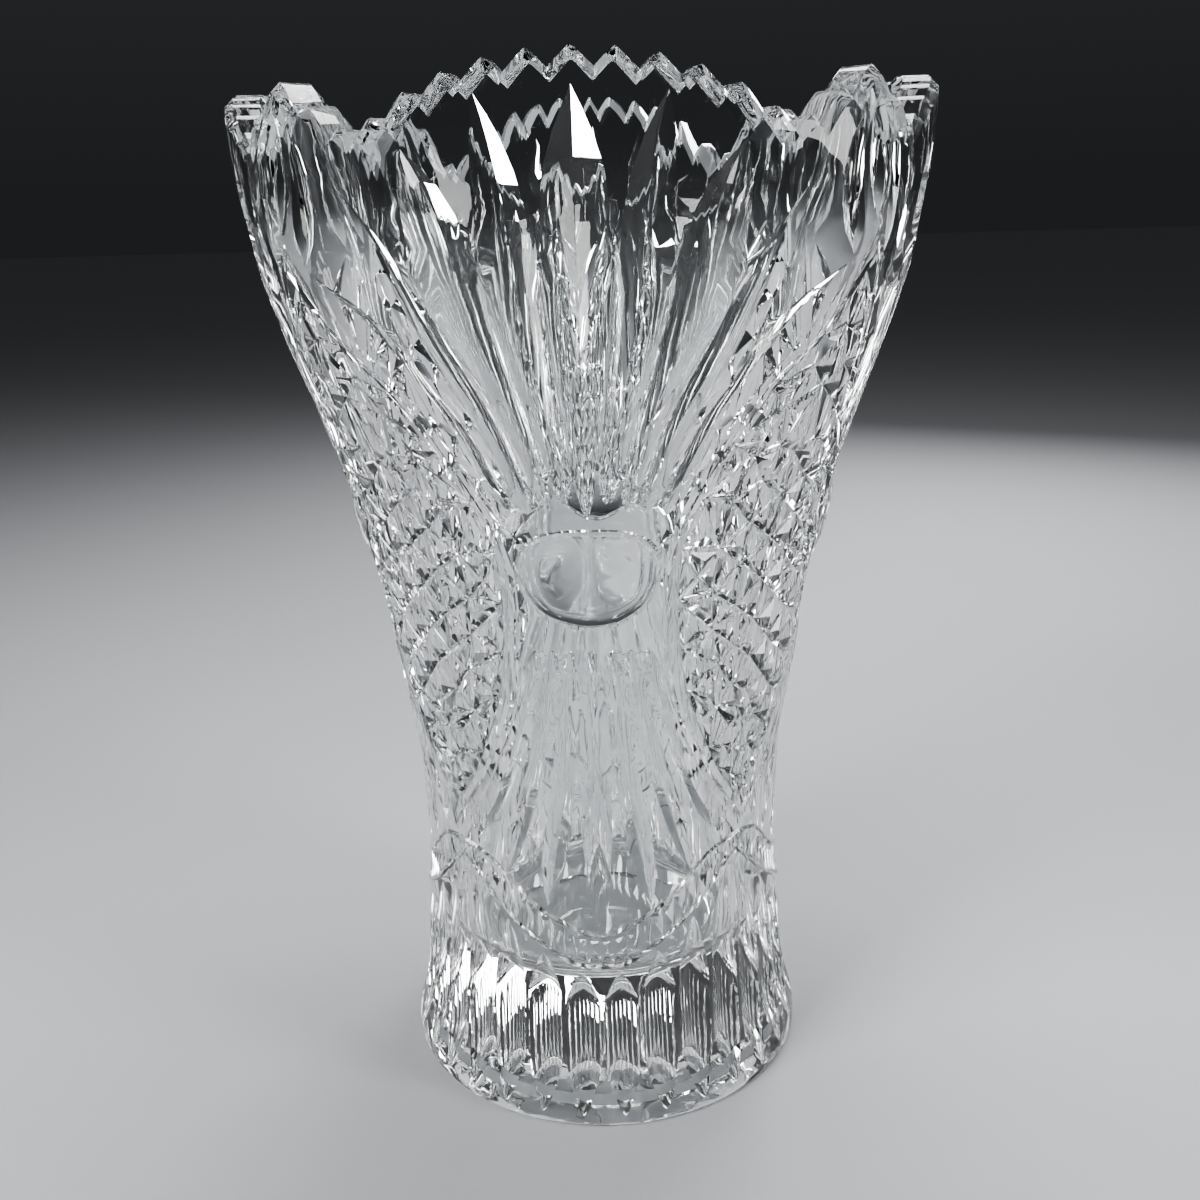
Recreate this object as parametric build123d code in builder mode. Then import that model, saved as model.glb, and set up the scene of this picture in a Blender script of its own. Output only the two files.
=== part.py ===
from build123d import *
from math import cos, degrees, radians, sin, sqrt
import os

# A pressed and cut crystal vase, ten inches tall. The real one is a single piece of glass,
# held here as four rings that meet face to face: foot, lower_wall, upper_wall and rim.
# Millimetres, +Z up, the origin under the middle of the base. Fan 0 faces -Y.

# --- driving dimensions ---
HEIGHT = 254.0
FANS = 4                       # large fan motifs round the wall, with a small lobe between each two
FOOT_TOP = 66.0                # where foot meets lower_wall, above the foot's flutes
WAIST = 133.0                  # where lower_wall meets upper_wall, in the plain groove under the bosses
RIM_BASE = 228.0               # where upper_wall meets rim

BASE_RADIUS = 55.6
BASE_RING = 2.0                # plain band at the very bottom
FLOOR = 33.0                   # top of the thick solid base, inside
FLOOR_FILLET = 9.0
RECESS_RADIUS = 42.0           # shallow hollow under the base
RECESS_DEPTH = 2.0

FOOT_RADIUS = 48.6             # outside radius at FOOT_TOP
WAIST_RADIUS = 55.2            # outside radius at WAIST
NECK_RADIUS = 80.6             # outside radius at RIM_BASE
MOUTH_RADIUS = 82.4            # outside radius at HEIGHT
BORE_FOOT = 38.6               # inside radius at FOOT_TOP, and down to the floor
BORE_WAIST = 45.6
BORE_NECK = 70.6
BORE_MOUTH = 72.6

TEETH = 64
SCALLOP_RADIUS = 75.0          # the top edge of a fan is an arc of this radius on the unrolled wall
LOBE_TOP = 251.5
LOBE_DROP = 0.84               # mm that a lobe's teeth fall for each degree from its middle

FOOT_FLUTES = 32
FLUTE_RADIUS = 8.0             # section of a foot flute
FLUTE_DEPTH = 1.5
FLUTE_MIDDLE = (51.5, 20.0)    # the wall's radius and height where a flute is deepest
FLUTE_LOW_DEPTH = 1.0          # what is left of its depth at its lower end
FLUTE_TOP = 62.0               # where a flute has run out

BOSS_WIDTH = 31.0              # oval lens boss in the middle of each fan
BOSS_HEIGHT = 26.0
BOSS_MIDDLE = 149.0
BOSS_RISE = 1.6

LEAF_SLOPE = 0.45              # how steeply both sides of a leaf flute go down to its mitre line
UPPER_LEAF_FOOT = (3.8, 165.0)    # the upper leaves' lower tips: degrees from each to the next, and height
UPPER_LEAF_TIPS = [(0.0, 247.0), (11.6, 246.0), (22.8, 238.0), (33.3, 229.5), (41.5, 216.0)]
UPPER_LEAF_WIDEST = 0.66          # where a leaf is widest, as a share of its length
UPPER_LEAF_HALF_WIDTHS = [6.2, 5.4, 5.2, 4.6, 4.4]
LOWER_LEAF_HEAD = (4.5, 130.0)    # the same at the upper tips of the lower leaves
LOWER_LEAF_TIPS = [(0.0, 69.0), (12.5, 71.0), (23.5, 76.0), (33.5, 83.0)]
LOWER_LEAF_WIDEST = 0.6
LOWER_LEAF_HALF_WIDTHS = [4.4, 4.2, 4.0, 3.6]
CUTTER_STAND_OFF = 6.0            # how far a cutter reaches outside the wall
ROUNDING = 0.01

# --- the wall's outside line, ring by ring, as (radius, height), and its lean at the joins ---
FOOT_LINE = [(BASE_RADIUS, BASE_RING), (51.9, 17.0), (50.2, 37.0), (FOOT_RADIUS, FOOT_TOP)]
LOWER_LINE = [(FOOT_RADIUS, FOOT_TOP), (49.6, 88.0), (52.4, 110.0), (WAIST_RADIUS, WAIST)]
UPPER_LINE = [(WAIST_RADIUS, WAIST), (59.7, 155.0), (67.2, 180.0), (74.3, 201.0), (NECK_RADIUS, RIM_BASE)]
RIM_LINE = [(NECK_RADIUS, RIM_BASE), (82.1, 240.0), (MOUTH_RADIUS, HEIGHT)]
BASE_LEAN = (-0.35, 1.0)
FOOT_LEAN = (-0.01, 1.0)
WAIST_LEAN = (0.14, 1.0)
NECK_LEAN = (0.17, 1.0)
MOUTH_LEAN = (0.0, 1.0)
OUTSIDE = FOOT_LINE + LOWER_LINE[1:] + UPPER_LINE[1:] + RIM_LINE[1:]

FAN_TURN = 360 / FANS
TOOTH_TURN = 360 / TEETH
RIM_MIDDLE = (MOUTH_RADIUS + BORE_MOUTH) / 2
TOOTH_PITCH = RIM_MIDDLE * radians(TOOTH_TURN)

os.makedirs("parts", exist_ok=True)


def polar(radius, azimuth, height):
    """A point by its azimuth in degrees, counted from the middle of fan 0."""
    return (radius * sin(radians(azimuth)), -radius * cos(radians(azimuth)), height)


def outside_radius(height):
    """The outside radius at a height, along straight runs between the outside line's points."""
    for (low_r, low_z), (high_r, high_z) in zip(OUTSIDE, OUTSIDE[1:]):
        if height <= high_z:
            return low_r + (high_r - low_r) * (height - low_z) / (high_z - low_z)
    return MOUTH_RADIUS


def ring_section(outside, leans, bore_low, bore_high):
    """Half the section of one ring of wall, between its outside line and its bore."""
    low, high = outside[0][1], outside[-1][1]
    with BuildSketch() as section:
        with BuildLine():
            Spline(*outside, tangents=leans)
            Polyline(outside[-1], (bore_high, high), (bore_low, low), outside[0])
        make_face()
    return section.sketch


def leaf(foot_end, head_end, widest, half_width):
    """The cutter of one leaf flute, a mitre cut that is pointed at both ends, each (azimuth, height)."""
    middle = tuple(low + (high - low) * widest for low, high in zip(foot_end, head_end))
    depth = half_width * LEAF_SLOPE
    points = [Vector(*polar(outside_radius(z), a, z)) for a, z in (foot_end, middle, head_end)]
    outward = Vector(*polar(1, middle[0], 0))
    along = points[2] - points[0]
    across = outward.cross(along).normalized()
    reach = CUTTER_STAND_OFF / LEAF_SLOPE
    with BuildPart() as cutter:
        for point, below in zip(points, (0, depth, 0)):
            top = CUTTER_STAND_OFF - below
            with BuildSketch(Plane(origin=point, x_dir=across, z_dir=along)):
                Polygon((0, -below), (reach, top), (-reach, top), align=None)
        loft(ruled=True)
    return cutter.part


def fan_leaves(feet, heads, widest, half_widths):
    """The leaf cutters of every fan, from those of one half fan and its mirror image."""
    cutters = []
    for fan in range(FANS):
        for (foot_a, foot_z), (head_a, head_z), half_width in zip(feet, heads, half_widths):
            for side in ((1, -1) if foot_a or head_a else (1,)):
                foot_end = (fan * FAN_TURN + side * foot_a, foot_z)
                head_end = (fan * FAN_TURN + side * head_a, head_z)
                cutters.append(leaf(foot_end, head_end, widest, half_width))
    return cutters


def tooth_height(index):
    """How high one rim tooth's tip stands: on the fan's arc or the lobe's slope, whichever is higher."""
    azimuth = index * TOOTH_TURN
    from_fan = (azimuth + FAN_TURN / 2) % FAN_TURN - FAN_TURN / 2
    from_lobe = FAN_TURN / 2 - abs(from_fan)
    along = RIM_MIDDLE * radians(from_fan)
    arc = HEIGHT - SCALLOP_RADIUS + sqrt(SCALLOP_RADIUS**2 - along**2)
    return max(arc, LOBE_TOP - LOBE_DROP * from_lobe)


leaf_count = len(UPPER_LEAF_TIPS)
upper_feet = [(UPPER_LEAF_FOOT[0] * i, UPPER_LEAF_FOOT[1]) for i in range(leaf_count)]
lower_heads = [(LOWER_LEAF_HEAD[0] * i, LOWER_LEAF_HEAD[1]) for i in range(leaf_count)]
upper_leaves = fan_leaves(upper_feet, UPPER_LEAF_TIPS, UPPER_LEAF_WIDEST, UPPER_LEAF_HALF_WIDTHS)
lower_leaves = fan_leaves(LOWER_LEAF_TIPS, lower_heads, 1 - LOWER_LEAF_WIDEST, LOWER_LEAF_HALF_WIDTHS)

# --- foot: the thick solid base with its flutes, and the first part of the hollow ---
with BuildPart() as foot_flute:
    with BuildLine() as flute_path:
        ThreePointArc(
            polar(BASE_RADIUS + FLUTE_RADIUS - FLUTE_LOW_DEPTH, 0, BASE_RING),
            polar(FLUTE_MIDDLE[0] + FLUTE_RADIUS - FLUTE_DEPTH, 0, FLUTE_MIDDLE[1]),
            polar(FOOT_RADIUS + FLUTE_RADIUS, 0, FLUTE_TOP),
        )
    with BuildSketch(flute_path.line ^ 0):
        Circle(FLUTE_RADIUS)
    sweep()

with BuildPart() as foot:
    with BuildSketch(Plane.XZ):
        with BuildLine():
            Spline(*FOOT_LINE, tangents=[BASE_LEAN, FOOT_LEAN])
            hollow = Polyline((FOOT_RADIUS, FOOT_TOP), (BORE_FOOT, FOOT_TOP), (BORE_FOOT, FLOOR), (0, FLOOR))
            Polyline(hollow @ 1, (0, RECESS_DEPTH), (RECESS_RADIUS, RECESS_DEPTH))
            Polyline((RECESS_RADIUS, RECESS_DEPTH), (RECESS_RADIUS + RECESS_DEPTH, 0), (BASE_RADIUS, 0))
            Line((BASE_RADIUS, 0), (BASE_RADIUS, BASE_RING))
        make_face()
    revolve(axis=Axis.Z)
    circles = foot.edges().filter_by(GeomType.CIRCLE)
    bore_edges = circles.filter_by(lambda edge: abs(edge.radius - BORE_FOOT) < ROUNDING)
    fillet(bore_edges.sort_by(Axis.Z)[0], FLOOR_FILLET)
    with PolarLocations(0, FOOT_FLUTES, start_angle=180 / FOOT_FLUTES):
        add(foot_flute.part, mode=Mode.SUBTRACT)
foot.part.label = "foot"
export_step(foot.part, "parts/foot.step")

# --- lower_wall: up to the plain groove under the bosses, with the lower fans ---
with BuildPart() as lower_wall:
    with BuildSketch(Plane.XZ):
        add(ring_section(LOWER_LINE, [FOOT_LEAN, WAIST_LEAN], BORE_FOOT, BORE_WAIST))
    revolve(axis=Axis.Z)
    add(lower_leaves, mode=Mode.SUBTRACT)
lower_wall.part.label = "lower_wall"
export_step(lower_wall.part, "parts/lower_wall.step")

# --- upper_wall: the flared ring with the lens bosses and most of the upper fans ---
with BuildPart() as boss_layer:
    with BuildSketch(Plane.XZ):
        with Locations((BOSS_RISE, 0)):
            add(ring_section(UPPER_LINE, [WAIST_LEAN, NECK_LEAN], BORE_WAIST, BORE_NECK))
    revolve(axis=Axis.Z)

with BuildPart() as bosses:
    with BuildSketch(Plane.XZ):
        with Locations((0, BOSS_MIDDLE)):
            Ellipse(BOSS_WIDTH / 2, BOSS_HEIGHT / 2)
    extrude(amount=MOUTH_RADIUS)
    add(boss_layer.part, mode=Mode.INTERSECT)

with BuildPart() as upper_wall:
    with BuildSketch(Plane.XZ):
        add(ring_section(UPPER_LINE, [WAIST_LEAN, NECK_LEAN], BORE_WAIST, BORE_NECK))
    revolve(axis=Axis.Z)
    with PolarLocations(0, FANS):
        add(bosses.part)
    add(upper_leaves, mode=Mode.SUBTRACT)
upper_wall.part.label = "upper_wall"
export_step(upper_wall.part, "parts/upper_wall.step")

# --- rim: the top band, cut into teeth that rise and fall over the fans and lobes ---
with BuildPart() as rim:
    with BuildSketch(Plane.XZ):
        add(ring_section(RIM_LINE, [NECK_LEAN, MOUTH_LEAN], BORE_NECK, BORE_MOUTH))
    revolve(axis=Axis.Z)
    for tooth in range(TEETH):
        left, right = tooth_height(tooth), tooth_height(tooth + 1)
        notch = (left + right - TOOTH_PITCH) / 2
        from_left = (TOOTH_PITCH + left - right) / 2
        azimuth = tooth * TOOTH_TURN + degrees(from_left / RIM_MIDDLE)
        reach = HEIGHT + CUTTER_STAND_OFF - notch
        with BuildSketch(Plane.XZ.rotated((0, 0, azimuth))):
            Polygon((0, notch), (reach, notch + reach), (-reach, notch + reach), align=None)
        extrude(amount=MOUTH_RADIUS + CUTTER_STAND_OFF, mode=Mode.SUBTRACT)
    add(upper_leaves, mode=Mode.SUBTRACT)
rim.part.label = "rim"
export_step(rim.part, "parts/rim.step")
for piece in (foot, lower_wall, upper_wall, rim):
    print(piece.part.label, round(piece.part.volume), len(piece.part.solids()), piece.part.is_valid)
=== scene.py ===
from math import ceil, cos, degrees, pi, radians, sin, sqrt

import bmesh
import bpy
import numpy as np
from mathutils import Euler, Matrix, Vector
from mathutils.geometry import delaunay_2d_cdt


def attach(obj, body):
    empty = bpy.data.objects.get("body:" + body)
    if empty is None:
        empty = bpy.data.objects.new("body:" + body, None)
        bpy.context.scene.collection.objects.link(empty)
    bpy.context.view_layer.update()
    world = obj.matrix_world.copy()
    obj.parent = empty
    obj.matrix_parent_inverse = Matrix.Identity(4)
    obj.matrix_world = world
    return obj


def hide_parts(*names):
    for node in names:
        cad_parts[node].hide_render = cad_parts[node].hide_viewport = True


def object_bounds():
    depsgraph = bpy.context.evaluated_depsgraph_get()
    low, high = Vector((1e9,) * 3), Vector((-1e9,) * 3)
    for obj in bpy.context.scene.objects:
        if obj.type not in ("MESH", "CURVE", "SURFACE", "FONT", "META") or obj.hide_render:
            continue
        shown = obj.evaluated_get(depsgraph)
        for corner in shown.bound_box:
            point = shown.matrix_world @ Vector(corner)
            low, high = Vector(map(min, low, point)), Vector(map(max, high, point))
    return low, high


# A cut crystal vase as one closed mesh of glass, built round the CAD frame.
# Its pattern is laid out on the unrolled wall, as (azimuth, height) in degrees and millimetres, for one
# eighth of the way round: from azimuth 0, the middle of the fan that faces -Y, to 45, the middle of the lobe
# beside it. Both are mirror lines, so the eighth is mirrored and turned into the whole. A relief is in
# millimetres out from the plain wall.

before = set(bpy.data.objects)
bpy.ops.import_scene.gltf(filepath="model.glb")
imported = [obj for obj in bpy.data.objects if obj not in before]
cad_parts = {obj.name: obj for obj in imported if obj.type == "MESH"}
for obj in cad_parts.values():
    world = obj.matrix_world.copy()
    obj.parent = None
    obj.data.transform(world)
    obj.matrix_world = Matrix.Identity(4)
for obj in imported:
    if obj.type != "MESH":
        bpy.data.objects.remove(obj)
cad_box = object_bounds()

PATTERN_HEIGHT = 254.0
SCALE = cad_box[1].z / PATTERN_HEIGHT             # metres for each millimetre of the pattern
QUARTERS = 4
LOBE = 45.0                                       # the azimuth of a lobe's middle
MOUTH_RADIUS = cad_box[1].x / SCALE

# --- the plain wall, as (height, radius) ---
OUTSIDE = [(0, 55.6), (2, 55.4), (17, 51.9), (37, 50.3), (58, 48.6), (85, 49.4), (110, 52.5),
           (131, 54.8), (155, 59.7), (180, 67.2), (201, 74.3), (219, 79.0), (240, 82.0),
           (254, MOUTH_RADIUS)]
INSIDE = [(42, 38.6), (66, 38.6), (100, 41.6), (133, 45.6), (155, 50.0), (180, 57.4), (201, 64.0),
          (228, 70.4), (254, 72.6)]
SWELL = [(66, 0), (76, 1.3), (95, 0.3), (115, 0), (165, 0), (185, 2.0), (201, 4.0), (218, 4.6), (234, 2.5),
         (254, 0.4)]                              # how far the lobe's middle stands out, by height
SWELL_FROM = 29.0                                 # the azimuth where the swelling starts

# --- the base, floor and hollow, as heights and radii ---
BASE_TOP = 2.0                                    # where the patterned wall starts
BASE_BEVEL = [(54.6, 0.0), (55.4, 0.7)]           # (radius, height) from the ground ring to the wall
RECESS_RADIUS = 42.0
RECESS_DEPTH = 2.0
FLOOR = 33.0
FLOOR_FILLET = 9.0
FLOOR_SIDE = FLOOR + FLOOR_FILLET                 # where the hollow's side starts
FLOOR_RINGS = (20.0, 10.0, 0.0)
FILLET_STEPS = 7
ROUND = np.linspace(0, LOBE, 33)                  # the azimuths of a plain ring's points

# --- rim teeth ---
TEETH = 64
RIM_MIDDLE = 77.5
SCALLOP_RADIUS = 75.0
LOBE_TOP = 251.5
LOBE_DROP = 0.84                                  # its fall in mm for each degree from its middle
RIM_BEVEL = 2.0
TIP_ROUNDING = 0.35
TOOTH_ASIDES = (-2.2, -1.2, -0.5, 0, 0.5, 1.2, 2.2)   # a tooth's outline points, in mm from its tip

# --- the border band between the fans and the star panel, as (height, azimuth) of its middle line ---
BORDER = [(72, 50.5), (79.5, 45), (83, 42.5), (88.5, 38.3), (95, 33.6), (102.3, 29.3), (110, 25.3),
          (119, 22.0), (130, 19.8), (140, 18.7), (149, 18.3), (155, 18.8), (162, 20.4), (168.5, 22.9),
          (174.4, 25.5), (180.8, 28.2), (187.3, 31.2), (193.2, 34.5), (199, 38.2), (203.5, 40.0),
          (209.6, 42.2), (217.5, 45), (226, 49)]
BORDER_SPAN = (73, 226)                           # the heights that it is drawn between
BORDER_SPACING = 2.5
BORDER_HALF_WIDTH = [(80, 1.2), (90, 1.6), (119, 1.7), (149, 1.3), (175, 1.05), (218, 0.9)]
BORDER_RISE = 0.9
BORDER_RIDGE = 0.75                               # where its two ridges run, as a share of its half width
BORDER_VALLEY = 0.35                              # the relief along its middle, between the ridges
BORDER_FLANK = 0.7
LEAN_STEP = 0.2                                   # how far up and down a line's lean is measured
PAST_AXIS = 1.0                                   # how far an area reaches over a mirror line, in degrees

# --- leaves: each side's line from the lower end to the upper end, as (azimuth, height) ---
# None stands for the fan's middle, left of the first leaf, and for the border, right of the last.
UPPER_LEAVES = [
    (None,
     [(0, 163), (1.1, 166), (1.8, 172), (3.2, 188), (4.0, 200), (4.7, 215), (4.8, 222), (4.1, 232),
      (2.3, 240), (0, 247)]),
    ([(3.8, 166.6), (3.0, 168.2), (2.9, 172), (4.1, 188), (4.8, 200), (5.6, 215), (6.0, 222), (7.4, 232),
      (9.6, 240), (12.2, 246)],
     [(3.8, 166.6), (4.8, 168.4), (6.2, 174), (8.7, 187), (11.2, 200), (12.8, 210), (13.4, 220),
      (13.5, 230), (13.1, 239), (12.2, 246)]),
    ([(7.6, 165.3), (6.7, 167.2), (7.2, 174), (9.7, 187), (12.2, 200), (13.8, 210), (14.6, 218),
      (15.9, 225), (18.8, 232), (23, 237.6)],
     [(7.6, 165.3), (9.0, 167.6), (12.2, 180), (16.1, 191.4), (20.3, 203), (23.1, 213), (24.1, 221),
      (24.3, 229), (23, 237.6)]),
    ([(11.6, 164.3), (10.2, 166.5), (13.2, 180.2), (17.2, 191.4), (21.6, 203.2), (24.8, 212.5),
      (27.8, 220), (33.2, 229.5)],
     [(11.6, 164.3), (13.6, 166.0), (15.4, 171.4), (18.0, 179), (21.4, 186.7), (24.6, 192.6),
      (27.4, 199), (29.8, 207.3), (32, 217.3), (33.2, 229.5)]),
    ([(16.0, 163.2), (14.8, 165.2), (16.5, 171.4), (19.1, 179), (22.5, 186.7), (25.6, 192.2),
      (28.6, 199), (32, 205), (35.6, 209.6), (40.6, 214.5)],
     None),
]
LOWER_LEAVES = [
    (None,
     [(0, 57.5), (1.2, 61), (3.6, 71), (4.3, 80), (3.9, 90), (3.4, 100), (3.0, 110), (2.6, 120),
      (2.0, 127.5), (1.2, 130.4), (0, 131)]),
    ([(15.3, 60.5), (12.6, 65), (9.8, 73), (7.5, 82), (6.1, 92), (5.1, 105), (4.3, 118), (3.6, 127),
      (3.9, 130), (4.9, 131)],
     [(15.3, 60.5), (16.7, 65), (16.8, 71), (15.3, 80), (12.9, 92), (10.2, 105), (8.2, 118), (6.6, 127),
      (6.0, 130), (4.9, 131)]),
    ([(28, 68), (24.2, 73), (20.1, 82), (15.5, 95), (12.0, 107), (9.6, 118), (7.8, 127), (8.1, 130),
      (9.2, 131)],
     [(28, 68), (28.7, 74), (26.4, 82), (22.2, 93), (17.8, 105), (14.2, 115), (11.0, 127), (10.4, 130),
      (9.2, 131)]),
    ([(37.4, 76.5), (33.4, 79.5), (28.2, 87), (23.2, 98), (19.2, 108), (15.2, 118), (12.4, 127),
      (12.6, 130), (13.7, 131)],
     None),
]
LEAF_STEPS = 16
LEAF_SLOPE = 0.58                                 # a leaf's depth for each millimetre of its half width
LOWER_LEAF_SLOPE = 0.8
LEAF_SCOOP = 0.58                                 # the depth halfway to the middle; 0.5 is a flat flank
LEAF_ENDS = 2                                     # the steps at each end that aren't scooped
LAST_LEAF_STEPS = 12                              # points along the side that follows the border
LAST_LEAF_GAP = 0.6                               # between that side and the border
RIB_RISE = 0.6                                    # how far the rib between two leaves stands out
RIB_GAPS = (0.4, 2.4)                             # the gaps between two leaves, in degrees, that have a rib
RIB_INSET = 1.0                                   # how far a rib keeps from the leaves' ends
RIB_RUN = 5                                       # how many steps each end of a rib takes to rise

# --- the lobe over the star panel, as (azimuth, height) ---
LOBE_LEAF = [(45, 222.5), (43.6, 227), (42.7, 234), (43.2, 241), (45, 246.5)]
CRESCENT_LEFT = [(41.4, 216.2), (39.2, 221), (38.2, 229), (39.2, 237), (41.8, 242.5)]
CRESCENT_RIGHT = [(41.4, 216.2), (42.4, 221), (41.8, 229), (41.5, 237), (41.8, 242.5)]

# --- the star panel, as (azimuth, height) of its stars and of the smaller crossings between them ---
STARS = [(45, 201.6), (37.8, 184.8), (45, 174), (31.2, 164.4), (45, 153.5), (29.7, 142.3), (45, 132.5),
         (33.7, 123), (45, 114), (39.8, 105.5), (45, 97)]
CROSSINGS = [(45, 209), (41.2, 193.5), (45, 189), (34.2, 174.6), (39.8, 176), (38.4, 168), (45, 163.7),
             (37.6, 158.5), (30.0, 153.4), (37.6, 148.5), (45, 143), (25.0, 147), (37.4, 137.5),
             (31.2, 132.6), (38.8, 127), (45, 123), (39.0, 117), (33.8, 112), (42.6, 109.5),
             (37.6, 100.5), (45, 105.5), (41.8, 98.5), (42.2, 91), (45, 89)]
BORDER_MEETINGS = [209, 200, 190, 178, 166.5, 154.5, 142, 129.5, 118, 109, 101, 94, 88]   # by height
PANEL_END_STEP = 0.5                              # how finely the panel's two ends are looked for
GROOVE = 0.75                                     # half the width of a groove between two pads
GROOVE_DEPTH = 1.0
PAD_SLOPE = 0.4
SMALLEST_PAD = 0.25                               # a pad's least size, as a share of its triangle

# --- the two arcs over the foot, as (azimuth, height) ---
UPPER_ARC = [(-11, 56), (0, 52.7), (11, 56), (18, 59.3), (26, 65), (32, 69.8), (39, 73.2), (45, 74.6)]
LOWER_ARC = [(-7, 44.8), (0, 44), (7, 44.8), (16, 48.8), (26, 54.3), (31, 58.2), (37, 62.7), (45, 69.5)]
ARC_RISE = 0.6
ARC_HALF_WIDTH = 0.7
ARC_CELLS = 12
ARC_CELL_DEPTH = 1.1

# --- the lens boss, with its rings as (share of its size, relief) ---
BOSS_MIDDLE = 149.0
BOSS_ACROSS = 15.9                                # degrees
BOSS_UP = 11.9
BOSS_DOWN = 12.9
BOSS_SQUARENESS = 0.72                            # of the upper half; 1 is a plain oval
BOSS_RINGS = [(1, 0), (0.95, -0.5), (0.9, 0.9), (0.8, 1.6), (0.62, 2.2), (0.4, 2.6), (0.2, 2.8)]
BOSS_STEPS = 33

# --- the foot's flutes: each one's top, the height of its arch, and its lean at the top in degrees ---
FLUTE_TOPS = [(42.4, 8, 0), (47.0, 10, 0.2), (54.4, 15, 0.8), (65.5, 27, 2.4)]
FLUTE_TURN = LOBE / len(FLUTE_TOPS)
FLUTE_HALF = 5.1                                  # half its width, in degrees
FLUTE_FOOT = 3.4
FLUTE_TAPER = 13.0                                # how high the pointed lower ends reach
FLUTE_POINT = 0.65                                # how pointed both ends are; less is rounder
FLUTE_DEPTH = 2.1
FLUTE_STEPS = 19
FLUTE_LINES = (-1, -0.85, -0.6, -0.3, 0, 0.3, 0.6, 0.85, 1)   # upright lines, as shares of half its width

# --- meshing ---
FLAT_DEGREE = 1.1                                 # the width of one degree while the pattern is triangulated
FILL_SPACING = 3.0
FILL_CLEARANCE = 1.3
EDGE_CLEARANCE = 1.0
OUTSIDE_SIDES = (BASE_TOP, 250.0, 2.0)            # points up a mirror line outside: from, to, spacing
INSIDE_SIDES = (FLOOR_SIDE, 228.0, 3.0)
SIDE_CLEARANCE = 1.0
SIDE_REACH = 0.3                                  # degrees; points this near a mirror line count as on it
JUST_BESIDE = 0.01                                # degrees
AZIMUTH_DECIMALS = 4                              # rounding, so that points meet on a mirror line
FLAT_MERGE = 0.02                                 # flat points nearer than this become one
PANEL_MERGE = 0.01
RELIEF_PASSES = 4
SLIVER = 0.001                                    # a triangle narrower than this, in degrees, is dropped
WELD = 2e-5                                       # metres
SMALLEST_EDGE = 1e-6                              # metres
SHARP_ANGLE = 19.0


def curve(points, at):
    """A smooth line through (place, value) points that doesn't swing past them, read at given places."""
    x, y = np.array(sorted(points), float).T
    rise = np.diff(y) / np.diff(x)
    product = rise[:-1] * rise[1:]
    total = rise[:-1] + rise[1:]
    inner = np.where(product > 0, 2 * product / np.where(product > 0, total, 1), 0)
    slope = np.concatenate([rise[:1], inner, rise[-1:]])
    at = np.asarray(at, float)
    i = np.clip(np.searchsorted(x, at) - 1, 0, len(x) - 2)
    step = x[i + 1] - x[i]
    t = np.clip((at - x[i]) / step, 0, 1)
    low = (1 + 2 * t) * (1 - t) ** 2 * y[i] + t * (1 - t) ** 2 * step * slope[i]
    high = t ** 2 * (3 - 2 * t) * y[i + 1] - t ** 2 * (1 - t) * step * slope[i + 1]
    return low + high


def by_height(side):
    """A side's (azimuth, height) points as (height, azimuth), which curve can read."""
    return [(z, azimuth) for azimuth, z in side]


def eased(count):
    """Steps from 0 to 1 that are closer together at both ends."""
    return (1 - np.cos(np.linspace(0, pi, count))) / 2


def inside(area, azimuth, z):
    """True if a place is inside a closed outline."""
    x0, y0 = area.T
    x1, y1 = np.roll(x0, -1), np.roll(y0, -1)
    spans = (y0 > z) != (y1 > z)
    crossing = x0 + (z - y0) * (x1 - x0) / np.where(spans, y1 - y0, 1)
    return bool((spans & (azimuth < crossing)).sum() % 2)


def degree_width(z):
    """Millimetres along the wall for one degree, at a height."""
    return curve(OUTSIDE, z) * pi / 180


def outside_radius(azimuth, z):
    """The plain wall's outside radius, with the lobe's swelling."""
    t = np.clip((np.asarray(azimuth) - SWELL_FROM) / (LOBE - SWELL_FROM), 0, 1)
    return curve(OUTSIDE, z) + curve(SWELL, z) * t ** 2 * (3 - 2 * t)


def inside_radius(azimuth, z):
    """The hollow's radius, which is the same all the way round."""
    return curve(INSIDE, z)


def border(z, aside):
    """The border band's azimuth at a height, on a line so many millimetres aside of its middle."""
    width = degree_width(z)
    above, below = curve(BORDER, np.add(z, LEAN_STEP)), curve(BORDER, np.subtract(z, LEAN_STEP))
    lean = (above - below) / (2 * LEAN_STEP) * width
    return curve(BORDER, z) + aside * np.sqrt(1 + lean ** 2) / width


def border_edge(z):
    """Half the border band's width, without its flank."""
    return curve(BORDER_HALF_WIDTH, z)


def to_axis(line):
    """The part of a line that lies this side of the lobe's middle, with an end put exactly on it."""
    kept = []
    for start, end in zip(line, line[1:]):
        if start[0] < LOBE:
            kept.append(start)
        if (start[0] < LOBE) != (end[0] < LOBE):
            t = (LOBE - start[0]) / (end[0] - start[0])
            kept.append((LOBE, start[1] + t * (end[1] - start[1])))
    if line[-1][0] < LOBE:
        kept.append(line[-1])
    return kept


def border_line(heights, aside):
    """A line along the border band, up to the lobe's middle at both ends."""
    return to_axis(list(zip(border(heights, aside), heights)))


def edge_height(edge, azimuth):
    """How high a toothed edge is at an azimuth."""
    azimuths, heights = np.array(edge).T
    return np.interp(azimuth, azimuths, heights)


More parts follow.
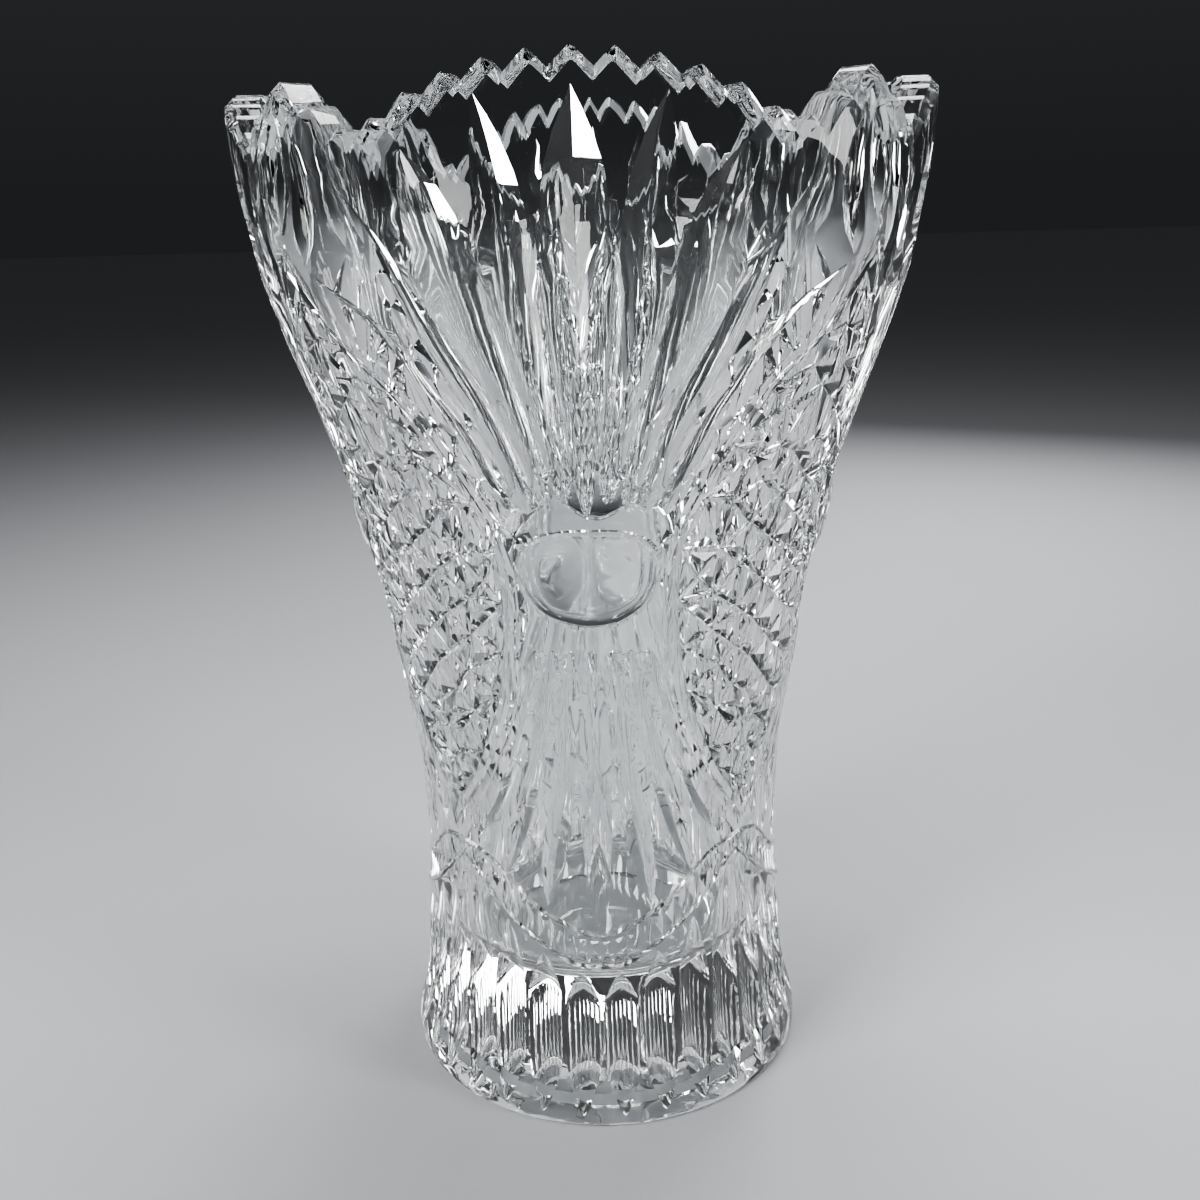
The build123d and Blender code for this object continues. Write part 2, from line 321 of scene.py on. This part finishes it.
class Sketch:
    """The pattern of one surface: points with a relief, lines that stay edges, and areas free of filling."""

    def __init__(self):
        self.points = []
        self.edges = []
        self.areas = []

    def line(self, places, reliefs):
        """Adds a line through (azimuth, height) places, which have one relief or one each."""
        first = len(self.points)
        for (azimuth, z), relief in zip(places, np.broadcast_to(reliefs, len(places))):
            self.points.append((round(float(azimuth), AZIMUTH_DECIMALS), float(z), float(relief)))
        self.edges += [(i, i + 1) for i in range(first, len(self.points) - 1)]

    def area(self, outline):
        """Keeps filling points out of an outline."""
        self.areas.append(np.array(outline, float))

    def is_covered(self, azimuth, z):
        """True if a place is in an area."""
        return any(inside(area, azimuth, z) for area in self.areas)

    def add_sides(self, heights, edge):
        """Adds points up both mirror lines, where none is near and no area covers them."""
        for side, inwards in ((0.0, JUST_BESIDE), (LOBE, -JUST_BESIDE)):
            top = edge_height(edge, side) - EDGE_CLEARANCE
            taken = np.array([z for a, z, h in self.points if abs(a - side) < SIDE_REACH])
            for z in heights:
                is_clear = z < top and np.abs(taken - z).min() > SIDE_CLEARANCE
                if is_clear and not self.is_covered(side + inwards, z):
                    self.line([(side, z)], 0)

    def fill(self, low, edge):
        """Adds points on a staggered grid, from a height up to the toothed edge."""
        spots = np.array([(a * FLAT_DEGREE, z) for a, z, h in self.points])
        across = FILL_SPACING / FLAT_DEGREE
        added = []
        for row in range(ceil(PATTERN_HEIGHT / FILL_SPACING)):
            z = row * FILL_SPACING
            for column in range(int(LOBE / across) + 1):
                azimuth = (column + 0.5 * (row % 2)) * across
                high = edge_height(edge, azimuth) - EDGE_CLEARANCE
                if azimuth < LOBE and low < z < high and not self.is_covered(azimuth, z):
                    away = spots - (azimuth * FLAT_DEGREE, z)
                    if (away ** 2).sum(1).min() > FILL_CLEARANCE ** 2:
                        added.append((azimuth, z, 0.0))
        self.points += added

    def triangles(self):
        """Joins everything into triangles: points as (azimuth, height, relief), and faces."""
        flat = [Vector((a * FLAT_DEGREE, z)) for a, z, h in self.points]
        places, edges, faces, origins, _, _ = delaunay_2d_cdt(flat, self.edges, [], 0, FLAT_MERGE, True)
        reliefs = np.full(len(places), np.nan)
        for i, sources in enumerate(origins):
            if sources:
                reliefs[i] = max((self.points[source][2] for source in sources), key=abs)
        # Where two lines cross there is a new point, which takes its neighbours' mean relief.
        for _ in range(RELIEF_PASSES):
            for i in np.flatnonzero(np.isnan(reliefs)):
                near = [reliefs[b if a == i else a] for a, b in edges if i in (a, b)]
                known = [h for h in near if not np.isnan(h)]
                reliefs[i] = np.mean(known) if known else np.nan
        reliefs = np.nan_to_num(reliefs)
        points = [(place.x / FLAT_DEGREE, place.y, h) for place, h in zip(places, reliefs)]
        return points, faces


def leaf(sketch, left, right, slope=LEAF_SLOPE):
    """A leaf cut as a V between two sides. A side that is a number is the azimuth of a mirror line."""
    drawn = right if np.isscalar(left) else left
    low, high = drawn[0][1], drawn[-1][1]
    heights = low + (high - low) * eased(LEAF_STEPS)
    sides = []
    for side in (left, right):
        sides.append(np.full(LEAF_STEPS, side) if np.isscalar(side) else curve(by_height(side), heights))
    half_width = np.abs(sides[1] - sides[0]) * degree_width(heights)
    if np.isscalar(left):
        middle = sides[0]
    elif np.isscalar(right):
        middle = sides[1]
    else:
        middle = (sides[0] + sides[1]) / 2
        half_width = half_width / 2
    lean = np.gradient(middle, heights) * degree_width(heights)
    depth = slope * half_width / np.sqrt(1 + lean ** 2)
    depth[[0, -1]] = 0
    sketch.line(list(zip(middle, heights)), -depth)
    scooped = slice(LEAF_ENDS, -LEAF_ENDS)
    for given, side in ((left, sides[0]), (right, sides[1])):
        if not np.isscalar(given):
            sketch.line(list(zip(side, heights)), 0)
            halfway = list(zip((middle + side) / 2, heights))
            sketch.line(halfway[scooped], -depth[scooped] * LEAF_SCOOP)
    sketch.area(list(zip(sides[0], heights)) + list(zip(sides[1], heights))[::-1])


def beside_border(low, high):
    """The side of a fan's last leaf, which follows the border between two heights."""
    heights = np.linspace(low, high, LAST_LEAF_STEPS)
    aside = -LAST_LEAF_GAP - border_edge(heights) - BORDER_FLANK
    return list(zip(border(heights, aside), heights))


def rib(sketch, before, after):
    """A raised rib between one leaf's right side and the next leaf's left side, where they run close."""
    low = max(before[0][1], after[0][1]) + RIB_INSET
    high = min(before[-1][1], after[-1][1]) - RIB_INSET
    heights = np.linspace(low, high, 2 * LEAF_STEPS)
    left, right = curve(by_height(before), heights), curve(by_height(after), heights)
    gap = right - left
    narrowest, widest = RIB_GAPS
    line = [(a, z) for a, z, g in zip((left + right) / 2, heights, gap) if narrowest < g < widest]
    if len(line) > 2:
        steps = np.arange(len(line))
        from_end = np.minimum(steps, steps[::-1])
        sketch.line(line, RIB_RISE * np.clip(from_end / RIB_RUN, 0, 1))


def fans(sketch):
    """The leaves of the upper and the lower fan, and the ribs between them."""
    for leaves, slope in ((UPPER_LEAVES, LEAF_SLOPE), (LOWER_LEAVES, LOWER_LEAF_SLOPE)):
        for left, right in leaves:
            if left is None:
                left = 0.0
            if right is None:
                right = [left[0]] + beside_border(left[0][1], left[-1][1])[1:-1] + [left[-1]]
            leaf(sketch, left, right, slope)
        for (_, before), (after, _) in zip(leaves, leaves[1:]):
            rib(sketch, before, after)


def lobe(sketch):
    """The lobe's leaf and the crescent beside it."""
    leaf(sketch, LOBE_LEAF, LOBE)
    leaf(sketch, CRESCENT_LEFT, CRESCENT_RIGHT)


def border_band(sketch):
    """The double-ridged border. Its area covers the star panel too."""
    heights = np.arange(*BORDER_SPAN, BORDER_SPACING)
    edge = border_edge(heights)
    sketch.line(border_line(heights, -edge - BORDER_FLANK), 0)
    sketch.line(border_line(heights, -BORDER_RIDGE * edge), BORDER_RISE)
    sketch.line(border_line(heights, 0), BORDER_VALLEY)
    sketch.line(border_line(heights, BORDER_RIDGE * edge), BORDER_RISE)
    left = border_line(heights, -edge - BORDER_FLANK)
    sketch.area(left + [(LOBE + PAST_AXIS, left[-1][1]), (LOBE + PAST_AXIS, left[0][1])])


def star_panel(sketch):
    """Grooves between the stars, and a low pyramid on each pad that they leave."""
    heights = np.arange(*BORDER_SPAN, PANEL_END_STEP)
    border_side = border_line(heights, border_edge(heights) + BORDER_FLANK)
    meetings = [(float(border(z, border_edge(z) + BORDER_FLANK)), z) for z in BORDER_MEETINGS]
    on_axis = sorted([p for p in STARS + CROSSINGS if p[0] == LOBE], key=lambda p: p[1])
    off_axis = [p for p in STARS + CROSSINGS if p[0] < LOBE]
    outline = [border_side[-1]] + meetings + [border_side[0]] + on_axis
    sketch.area(outline)
    flat = [Vector((a * FLAT_DEGREE, z)) for a, z in outline + off_axis]
    loop = [(i, (i + 1) % len(outline)) for i in range(len(outline))]
    places, _, faces, _, _, _ = delaunay_2d_cdt(flat, loop, [], 1, PANEL_MERGE, False)
    nodes = [(place.x / FLAT_DEGREE, place.y) for place in places]
    for face in faces:
        pad(sketch, np.array([nodes[i] for i in face]))


def pad(sketch, corners):
    """One pad of the star panel: the grooves round a triangle, and the pyramid inside them."""
    flat = corners * (FLAT_DEGREE, 1)
    sides = np.array([np.linalg.norm(flat[(i + 1) % 3] - flat[(i + 2) % 3]) for i in range(3)])
    u, v = flat[1] - flat[0], flat[2] - flat[0]
    radius = abs(u[0] * v[1] - u[1] * v[0]) / sides.sum()
    middle = (corners * sides[:, None]).sum(0) / sides.sum()
    sketch.line(list(corners) + [corners[0]], -GROOVE_DEPTH)
    share = max(1 - GROOVE / radius, SMALLEST_PAD)
    top = [middle + (corner - middle) * share for corner in corners]
    sketch.line(top + [top[0]], 0)
    for corner, top_corner in zip(corners, top):
        sketch.line([corner, top_corner], [-GROOVE_DEPTH, 0])
    sketch.line([middle], PAD_SLOPE * radius)


def arcs(sketch):
    """The two raised arcs over the foot, with a row of hollow cells between them."""
    along = np.linspace(0, LOBE, 2 * ARC_CELLS + 1)
    upper, lower = curve(UPPER_ARC, along), curve(LOWER_ARC, along)
    for height in (upper, lower):
        for aside, relief in ((-ARC_HALF_WIDTH, 0), (0, ARC_RISE), (ARC_HALF_WIDTH, 0)):
            sketch.line(list(zip(along, height + aside)), relief)
    roof, sill = upper - ARC_HALF_WIDTH, lower + ARC_HALF_WIDTH
    for i in range(0, len(along), 2):
        sketch.line([(along[i], sill[i]), (along[i], roof[i])], 0)
        if i + 1 < len(along):
            sketch.line([(along[i + 1], (sill[i + 1] + roof[i + 1]) / 2)], -ARC_CELL_DEPTH)
    top, bottom = upper + ARC_HALF_WIDTH, lower - ARC_HALF_WIDTH
    sketch.area(list(zip(along, top)) + list(zip(along, bottom))[::-1])


def boss(sketch):
    """The lens boss, as oval rings round its middle. The first ring is its outline."""
    turn = np.linspace(-pi / 2, pi / 2, BOSS_STEPS)
    is_upper = turn > 0
    across = BOSS_ACROSS * np.cos(turn) ** np.where(is_upper, BOSS_SQUARENESS, 1)
    up = np.where(is_upper, BOSS_UP * np.abs(np.sin(turn)) ** BOSS_SQUARENESS, BOSS_DOWN * np.sin(turn))
    for share, relief in BOSS_RINGS:
        sketch.line(list(zip(across * share, BOSS_MIDDLE + up * share)), relief)
    sketch.line([(0, BOSS_MIDDLE)], BOSS_RINGS[-1][1])
    outline = list(zip(across, BOSS_MIDDLE + up))
    sketch.area([(-PAST_AXIS, outline[0][1])] + outline + [(-PAST_AXIS, outline[-1][1])])


def flutes(sketch):
    """The foot's rounded flutes, pointed at both ends."""
    for index, (top, arch, lean) in enumerate(FLUTE_TOPS):
        heights = FLUTE_FOOT + (top - FLUTE_FOOT) * eased(FLUTE_STEPS)
        low = np.clip((heights - FLUTE_FOOT) / FLUTE_TAPER, 0, 1)
        high = np.clip((top - heights) / arch, 0, 1)
        share = (low * high) ** FLUTE_POINT
        middle = (index + 0.5) * FLUTE_TURN + lean * (1 - high) ** 2
        for across in FLUTE_LINES:
            line = list(zip(middle + FLUTE_HALF * across * share, heights))
            sketch.line(line, -FLUTE_DEPTH * (1 - across ** 2) * share)
        left = list(zip(middle - FLUTE_HALF * share, heights))
        right = list(zip(middle + FLUTE_HALF * share, heights))
        sketch.area(left + right[::-1])


def tooth_height(index):
    """How high a rim tooth's tip stands: on the fan's arc or the lobe's slope, whichever is higher."""
    azimuth = index * 360 / TEETH
    arc = PATTERN_HEIGHT - SCALLOP_RADIUS + sqrt(SCALLOP_RADIUS ** 2 - (RIM_MIDDLE * radians(azimuth)) ** 2)
    return max(arc, LOBE_TOP - LOBE_DROP * abs(LOBE - azimuth))


def rim_line():
    """The toothed edge from the fan's middle to the lobe's, as (azimuth, height)."""
    pitch = RIM_MIDDLE * 2 * pi / TEETH
    count = TEETH // (2 * QUARTERS)
    line = []
    for index in range(count + 1):
        tip = tooth_height(index)
        for aside in TOOTH_ASIDES:
            azimuth = index * 360 / TEETH + degrees(aside / RIM_MIDDLE)
            if 0 <= azimuth <= LOBE:
                line.append((azimuth, tip - sqrt(aside ** 2 + TIP_ROUNDING ** 2)))
        if index < count:
            following = tooth_height(index + 1)
            notch = (tip + following - pitch) / 2
            aside = (pitch + tip - following) / 2
            line.append((index * 360 / TEETH + degrees(aside / RIM_MIDDLE), notch))
    return sorted(line)


class Eighth:
    """One eighth of the vase's surface: points as (azimuth, radius, height), and faces."""

    def __init__(self):
        self.points = []
        self.faces = []

    def keep(self, points, faces):
        """Adds faces and their own points."""
        first = len(self.points)
        self.points += points
        self.faces += [tuple(first + i for i in face) for face in faces]

    def sheet(self, sketch, edge, radius, faces_out):
        """Adds a sketch up to the toothed edge. radius is a function of azimuth and height."""
        points, faces = sketch.triangles()
        bottom = min(z for a, z, h in points)
        kept = []
        for face in faces:
            corners = np.array([points[i] for i in face])
            azimuth, z, _ = corners.mean(0)
            if np.ptp(corners[:, 0]) > SLIVER and bottom < z < edge_height(edge, azimuth):
                kept.append(tuple(face) if faces_out else tuple(face)[::-1])
        self.keep([(a, float(radius(a, z)) + h, z) for a, z, h in points], kept)

    def strips(self, rows):
        """Joins rows of points that run from the fan's middle to the lobe's, each to the next."""
        count = len(rows[0])
        faces = []
        for row in range(len(rows) - 1):
            for i in range(count - 1):
                corner = row * count + i
                faces.append((corner, corner + 1, corner + 1 + count, corner + count))
        self.keep([point for row in rows for point in row], faces)

    def rings(self, profile):
        """Adds plain rings at (radius, height) places."""
        self.strips([[(azimuth, radius, z) for azimuth in ROUND] for radius, z in profile])

    def whole_mesh(self, name):
        """Mirrors and turns the eighth into the whole vase, and welds it into one closed mesh."""
        vertices = []
        faces = []
        for quarter in range(QUARTERS):
            for side in (1, -1):
                first = len(vertices)
                for azimuth, radius, z in self.points:
                    turn = radians(quarter * 360 / QUARTERS + side * azimuth)
                    vertices.append(Vector((radius * sin(turn), -radius * cos(turn), z)) * SCALE)
                for face in self.faces:
                    faces.append([first + i for i in face[::side]])
        mesh = bpy.data.meshes.new(name)
        mesh.from_pydata(vertices, [], faces)
        work = bmesh.new()
        work.from_mesh(mesh)
        bmesh.ops.remove_doubles(work, verts=work.verts, dist=WELD)
        bmesh.ops.dissolve_degenerate(work, dist=SMALLEST_EDGE, edges=work.edges)
        loose = [vertex for vertex in work.verts if not vertex.link_faces]
        bmesh.ops.delete(work, geom=loose, context="VERTS")
        bmesh.ops.recalc_face_normals(work, faces=work.faces)
        for face in work.faces:
            face.smooth = True
        work.to_mesh(mesh)
        work.free()
        mesh.set_sharp_from_angle(angle=radians(SHARP_ANGLE))
        return mesh


def outside_wall(eighth, edge):
    """The patterned outside, from the base to the bevel under the teeth."""
    sketch = Sketch()
    fans(sketch)
    lobe(sketch)
    border_band(sketch)
    star_panel(sketch)
    arcs(sketch)
    boss(sketch)
    flutes(sketch)
    sketch.line(edge, 0)
    sketch.line([(azimuth, BASE_TOP) for azimuth in ROUND], 0)
    sketch.add_sides(np.arange(*OUTSIDE_SIDES), edge)
    sketch.fill(BASE_TOP + EDGE_CLEARANCE, edge)
    eighth.sheet(sketch, edge, outside_radius, True)


def inside_wall(eighth, edge):
    """The smooth inside, from the floor's rounded edge to the bevel under the teeth."""
    sketch = Sketch()
    sketch.line(edge, 0)
    sketch.line([(azimuth, FLOOR_SIDE) for azimuth in ROUND], 0)
    sketch.add_sides(np.arange(*INSIDE_SIDES), edge)
    sketch.fill(FLOOR_SIDE + EDGE_CLEARANCE, edge)
    eighth.sheet(sketch, edge, inside_radius, False)


def toothed_rim(eighth, edge):
    """The teeth's flat top, with a bevel on both sides."""
    eighth.strips([
        [(a, float(outside_radius(a, z - RIM_BEVEL)), z - RIM_BEVEL) for a, z in edge],
        [(a, float(outside_radius(a, z)) - RIM_BEVEL, z) for a, z in edge],
        [(a, float(inside_radius(a, z)) + RIM_BEVEL, z) for a, z in edge],
        [(a, float(inside_radius(a, z - RIM_BEVEL)), z - RIM_BEVEL) for a, z in edge],
    ])


def floor_and_base(eighth):
    """The hollow's floor with its rounded edge, and the recessed underside."""
    side = float(inside_radius(0, FLOOR_SIDE))
    floor = []
    for turn in np.linspace(pi / 2, 0, FILLET_STEPS):
        floor.append((side - FLOOR_FILLET * (1 - sin(turn)), FLOOR + FLOOR_FILLET * (1 - cos(turn))))
    floor += [(radius, FLOOR) for radius in FLOOR_RINGS]
    eighth.rings(floor)
    recess = [(RECESS_RADIUS * share, RECESS_DEPTH) for share in (0, 1 / 3, 2 / 3, 1)]
    ground = [(RECESS_RADIUS + RECESS_DEPTH, 0.0)] + BASE_BEVEL
    eighth.rings(recess + ground + [(float(outside_radius(0, BASE_TOP)), BASE_TOP)])


def set_ramp(node, stops):
    """Gives a colour ramp's two stops their positions and colours."""
    for element, (position, colour) in zip(node.color_ramp.elements, stops):
        element.position = position
        element.color = colour


def glass():
    """Clear lead crystal, with a faint uneven tint, a little dulling and a slight waviness from noise."""
    material = bpy.data.materials.new("lead_crystal")
    material.use_nodes = True
    nodes, links = material.node_tree.nodes, material.node_tree.links
    shader = nodes["Principled BSDF"]
    shader.inputs["Transmission Weight"].default_value = 1.0
    shader.inputs["IOR"].default_value = 1.55
    place = nodes.new("ShaderNodeTexCoord")

    dust = nodes.new("ShaderNodeTexNoise")
    dust.inputs["Scale"].default_value = 60
    dust.inputs["Detail"].default_value = 3
    links.new(place.outputs["Object"], dust.inputs["Vector"])
    dulling = nodes.new("ShaderNodeMapRange")
    dulling.inputs["To Min"].default_value = 0.0
    dulling.inputs["To Max"].default_value = 0.03
    links.new(dust.outputs["Fac"], dulling.inputs["Value"])
    links.new(dulling.outputs["Result"], shader.inputs["Roughness"])
    tint = nodes.new("ShaderNodeValToRGB")
    set_ramp(tint, [(0.3, (0.955, 0.975, 0.975, 1)), (0.7, (0.98, 0.99, 0.99, 1))])
    links.new(dust.outputs["Fac"], tint.inputs["Fac"])
    links.new(tint.outputs["Color"], shader.inputs["Base Color"])

    waves = nodes.new("ShaderNodeTexNoise")
    waves.inputs["Scale"].default_value = 90
    waves.inputs["Detail"].default_value = 1
    links.new(place.outputs["Object"], waves.inputs["Vector"])
    bump = nodes.new("ShaderNodeBump")
    bump.inputs["Strength"].default_value = 1.0
    bump.inputs["Distance"].default_value = 0.00012
    links.new(waves.outputs["Fac"], bump.inputs["Height"])
    links.new(bump.outputs["Normal"], shader.inputs["Normal"])
    return material


def add_object(name, data):
    """A new object in the scene."""
    piece = bpy.data.objects.new(name, data)
    bpy.context.scene.collection.objects.link(piece)
    return piece


def build_vase():
    """The whole vase, which stands for all of the CAD's nodes."""
    teeth = rim_line()
    bevel_line = [(azimuth, z - RIM_BEVEL) for azimuth, z in teeth]
    eighth = Eighth()
    outside_wall(eighth, bevel_line)
    inside_wall(eighth, bevel_line)
    toothed_rim(eighth, teeth)
    floor_and_base(eighth)
    vase = add_object("vase_glass", eighth.whole_mesh("vase_glass"))
    vase.data.materials.append(glass())
    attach(vase, "root")
    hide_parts("foot", "lower_wall", "upper_wall", "rim")


# --- floor, light and camera, in metres ---
FLOOR_REACH = 8.0
FLOOR_DROP = 0.0002                               # keeps the floor clear of the vase's ground ring
LIGHT_AIM = (0, 0, 0.12)
LIGHTS = [                                        # name, place, size, power
    ("key_light", (-0.5, -0.45, 0.65), (0.35, 0.35), 5.0),
    ("fill_light", (0.65, -0.3, 0.4), (0.2, 0.45), 2.2),
    ("top_light", (0.05, 0.2, 0.8), (0.45, 0.25), 3.2),
    ("back_light", (0.35, 0.75, 0.45), (0.45, 0.2), 2.6),
]
WORLD_STRENGTH = 0.6
WORLD_TOP = 0.75                                  # the upward share of a direction where the world is palest
CAMERA_DISTANCE = 0.3124
CAMERA_HEIGHT = 0.2265
CAMERA_AZIMUTH = 1.3
CAMERA_PITCH = 17.94
CAMERA_ROLL = -1.62
CAMERA_LENS = 36.48                               # millimetres, as the sensor
CAMERA_SENSOR = 36
CAMERA_SHIFT = 0.0038
CAMERA_NEAREST = 0.01
GLASS_BOUNCES = 24
GLOSSY_BOUNCES = 8


def add_floor():
    """A plain pale floor."""
    reach = FLOOR_REACH
    mesh = bpy.data.meshes.new("floor")
    mesh.from_pydata([(-reach, -reach, 0), (reach, -reach, 0), (reach, reach, 0), (-reach, reach, 0)], [],
                     [(0, 1, 2, 3)])
    floor = add_object("floor", mesh)
    floor.location.z = -FLOOR_DROP
    pale = bpy.data.materials.new("pale_floor")
    pale.use_nodes = True
    shader = pale.node_tree.nodes["Principled BSDF"]
    shader.inputs["Base Color"].default_value = (0.5, 0.51, 0.53, 1)
    shader.inputs["Roughness"].default_value = 0.6
    mesh.materials.append(pale)


def add_world():
    """A dim grey studio that is a little paler overhead."""
    world = bpy.data.worlds.new("studio")
    bpy.context.scene.world = world
    world.use_nodes = True
    nodes, links = world.node_tree.nodes, world.node_tree.links
    direction = nodes.new("ShaderNodeTexCoord")
    parts = nodes.new("ShaderNodeSeparateXYZ")
    sky = nodes.new("ShaderNodeValToRGB")
    set_ramp(sky, [(0.0, (0.05, 0.052, 0.055, 1)), (WORLD_TOP, (0.12, 0.122, 0.125, 1))])
    links.new(direction.outputs["Generated"], parts.inputs["Vector"])
    links.new(parts.outputs["Z"], sky.inputs["Fac"])
    links.new(sky.outputs["Color"], nodes["Background"].inputs["Color"])
    nodes["Background"].inputs["Strength"].default_value = WORLD_STRENGTH


def add_light(name, place, size, power):
    """A soft rectangular light that faces the vase."""
    data = bpy.data.lights.new(name, "AREA")
    data.shape = "RECTANGLE"
    data.size, data.size_y = size
    data.energy = power
    light = add_object(name, data)
    light.location = place
    light.rotation_euler = (Vector(LIGHT_AIM) - Vector(place)).to_track_quat("-Z", "Y").to_euler()


def add_camera():
    """The camera at the photograph's viewing angle."""
    data = bpy.data.cameras.new("camera")
    data.lens = CAMERA_LENS
    data.sensor_width = CAMERA_SENSOR
    data.shift_x = CAMERA_SHIFT
    data.clip_start = CAMERA_NEAREST
    camera = add_object("camera", data)
    turn = radians(CAMERA_AZIMUTH)
    camera.location = (CAMERA_DISTANCE * sin(turn), -CAMERA_DISTANCE * cos(turn), CAMERA_HEIGHT)
    level = Euler((radians(90 - CAMERA_PITCH), 0, turn)).to_matrix()
    camera.rotation_euler = (level @ Matrix.Rotation(radians(CAMERA_ROLL), 3, "Z")).to_euler()
    bpy.context.scene.camera = camera


build_vase()
add_floor()
add_world()
for light in LIGHTS:
    add_light(*light)
add_camera()
scene = bpy.context.scene
scene.view_settings.look = "AgX - High Contrast"
scene.cycles.max_bounces = GLASS_BOUNCES
scene.cycles.transmission_bounces = GLASS_BOUNCES
scene.cycles.glossy_bounces = GLOSSY_BOUNCES
